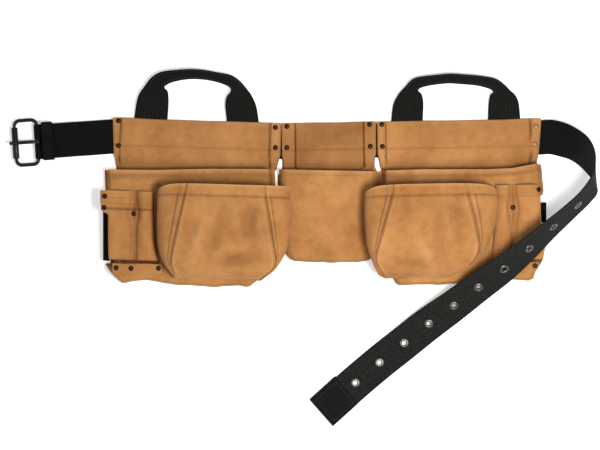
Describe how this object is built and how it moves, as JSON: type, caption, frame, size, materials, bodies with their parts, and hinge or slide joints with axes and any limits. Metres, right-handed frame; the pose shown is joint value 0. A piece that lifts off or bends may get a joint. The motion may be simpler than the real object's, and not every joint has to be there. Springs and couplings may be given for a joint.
{
  "type": "nail apron",
  "caption": "Leather carpenter apron on a wide web belt, with two deep front pouches, rear pockets, tool slots, hammer loops, carrying handles and a roller buckle.",
  "frame": {"origin": "back face of the middle yoke, level with the belt, on the floor plane", "axes": "+X to the wearer's left seen from the front, along the belt; +Y up the apron; +Z out of its front"},
  "size_m": [0.843, 0.5166, 0.0893],
  "materials": {
    "suede": "suede, napped",
    "webbing": "woven web",
    "buckle_metal": "satin black",
    "eyelet_metal": "dull nickel",
    "rivet_dark": "antique",
    "rivet_pale": "worn, pale"
  },
  "bodies": {
    "apron": {"yoke_left": "suede", "yoke_middle": "suede", "yoke_right": "suede", "handle_left": "webbing", "handle_right": "webbing", "rear_pocket_left": "suede", "middle_pocket": "suede", "rear_pocket_right": "suede", "pouch_left": "suede", "pouch_right": "suede", "tool_pocket_left": "suede", "tool_pocket_right": "suede", "bottom_band_left": "suede", "bottom_band_right": "suede", "hammer_loop_left": "webbing", "hammer_loop_right": "webbing", "belt_fold": "webbing", "belt_web": "webbing", "belt_tail": "webbing", "eyelet_01": "eyelet_metal", "eyelet_02": "eyelet_metal", "eyelet_03": "eyelet_metal", "eyelet_04": "eyelet_metal", "eyelet_05": "eyelet_metal", "eyelet_06": "eyelet_metal", "eyelet_07": "eyelet_metal", "eyelet_08": "eyelet_metal", "eyelet_09": "eyelet_metal", "eyelet_10": "eyelet_metal", "belt_keeper": "webbing", "rivet_yoke_01": "rivet_dark", "rivet_yoke_02": "rivet_dark", "rivet_yoke_03": "rivet_dark", "rivet_yoke_04": "rivet_dark", "rivet_yoke_05": "rivet_dark", "rivet_yoke_06": "rivet_dark", "rivet_yoke_07": "rivet_dark", "rivet_yoke_08": "rivet_dark", "rivet_yoke_09": "rivet_dark", "rivet_yoke_10": "rivet_dark", "rivet_yoke_11": "rivet_pale", "rivet_yoke_12": "rivet_pale", "rivet_bag_13": "rivet_dark", "rivet_bag_14": "rivet_dark", "rivet_bag_15": "rivet_dark", "rivet_bag_16": "rivet_dark", "rivet_bag_17": "rivet_dark", "rivet_bag_18": "rivet_dark", "rivet_bag_19": "rivet_dark", "rivet_bag_20": "rivet_dark", "rivet_bag_21": "rivet_dark"},
    "buckle": {"buckle_frame": "buckle_metal"},
    "roller": {"buckle_roller": "buckle_metal"},
    "tongue": {"buckle_tongue": "buckle_metal"}
  },
  "joints": [
    {"name": "buckle_swing", "type": "hinge", "parent": "apron", "child": "buckle", "pos_m": [-0.421, -0.0026, 0.00462], "axis": [-0.0698, 0.9976, 0], "range_deg": [0, 50]},
    {"name": "tongue_swing", "type": "hinge", "parent": "buckle", "child": "tongue", "pos_m": [-0.421, -0.0026, 0.00462], "axis": [-0.0698, 0.9976, 0], "range_deg": [0, 42]},
    {"name": "roller_spin", "type": "hinge", "parent": "buckle", "child": "roller", "pos_m": [-0.45312, -0.00485, 0.00462], "axis": [-0.0698, 0.9976, 0], "continuous": true}
  ]
}
